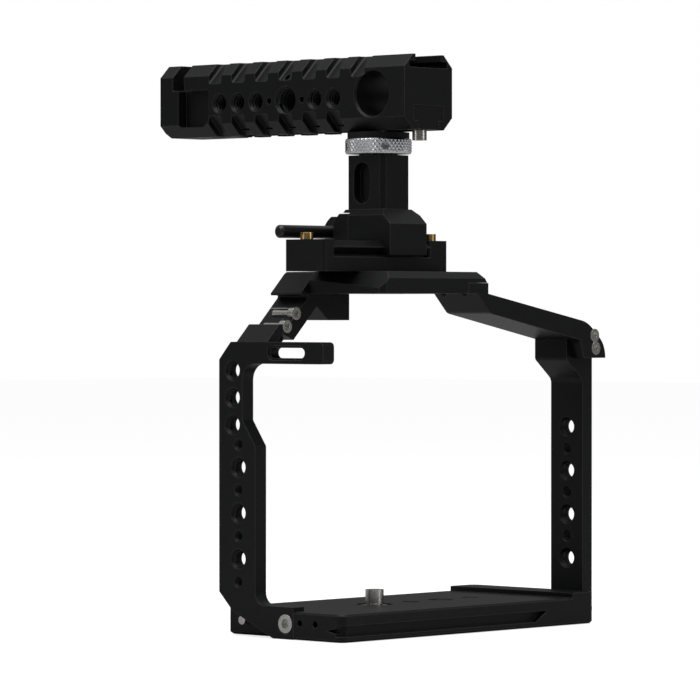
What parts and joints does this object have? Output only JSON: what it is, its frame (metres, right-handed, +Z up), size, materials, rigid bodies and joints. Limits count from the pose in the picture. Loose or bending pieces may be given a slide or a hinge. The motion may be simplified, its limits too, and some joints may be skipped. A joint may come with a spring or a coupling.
{
  "type": "camera cage with top handle",
  "caption": "Half-open metal camera cage with a threaded side arm, a rail clamp and a notched top handle locked by a knurled ring.",
  "frame": {"origin": "mouth of the tripod thread in the middle of the base's underside", "axes": "+Y points where the lens points, +X to the camera's right-hand side as its user sees it, +Z up"},
  "size_m": [0.133, 0.1187, 0.1928],
  "materials": {
    "black_anodised": "black anodised, fine satin",
    "steel": "bright stainless",
    "black_steel": "black oxide, semi-gloss",
    "knurled": "clear anodised, knurled",
    "washer": "black, matt",
    "brass": "turned brass"
  },
  "bodies": {
    "cage": {"base_plate": "black_anodised", "left_side_plate": "black_anodised", "left_shoulder": "black_anodised", "top_plate": "black_anodised", "right_shoulder": "black_anodised", "right_arm": "black_anodised", "foot_screw": "steel", "foot_pins": "steel", "shoulder_screws": "steel", "arm_top_screws": "steel", "arm_base_screws": "steel", "boss_screws": "steel", "right_joint_screws": "steel", "quick_release_rail": "black_anodised", "rail_screws": "steel", "rail_stop_screws": "brass"},
    "camera_screw_body": {"camera_screw": "steel", "camera_screw_clip": "steel"},
    "clamp": {"clamp_post": "black_anodised", "jaw_guide_pins": "steel", "tee_stud": "steel", "friction_washer": "washer"},
    "jaw": {"clamp_jaw": "black_anodised"},
    "lever": {"clamp_lever": "black_steel", "clamp_screw": "black_steel"},
    "ring": {"lock_ring": "knurled"},
    "handle": {"handle_body": "black_anodised", "slot_plug": "black_anodised", "stop_screw": "steel", "rod_set_screw": "black_steel"}
  },
  "joints": [
    {"name": "camera_screw_turn", "type": "hinge", "parent": "cage", "child": "camera_screw_body", "pos_m": [-0.018, 0, 0.005], "axis": [0, 0, 1], "continuous": true},
    {"name": "clamp_slide", "type": "slide", "parent": "cage", "child": "clamp", "axis": [1, 0, 0], "range_m": [-0.0235, 0.0032]},
    {"name": "jaw_slide", "type": "slide", "parent": "clamp", "child": "jaw", "axis": [0, 1, 0], "range_m": [0, 0.00109]},
    {"name": "lever_turn", "type": "hinge", "parent": "jaw", "child": "lever", "pos_m": [-0.0185, 0.014, 0.1342], "axis": [0, 1, 0], "range_deg": [0, 190]},
    {"name": "ring_turn", "type": "hinge", "parent": "clamp", "child": "ring", "pos_m": [-0.0185, -0.00225, 0.1628], "axis": [0, 0, 1], "range_deg": [0, 180]},
    {"name": "handle_slide", "type": "slide", "parent": "clamp", "child": "handle", "axis": [0, 1, 0], "range_m": [-0.05, 0.0045]}
  ],
  "couplings": [
    {"joint": "lever_turn", "follows": "jaw_slide", "rad_per_m": 3030.3}
  ]
}
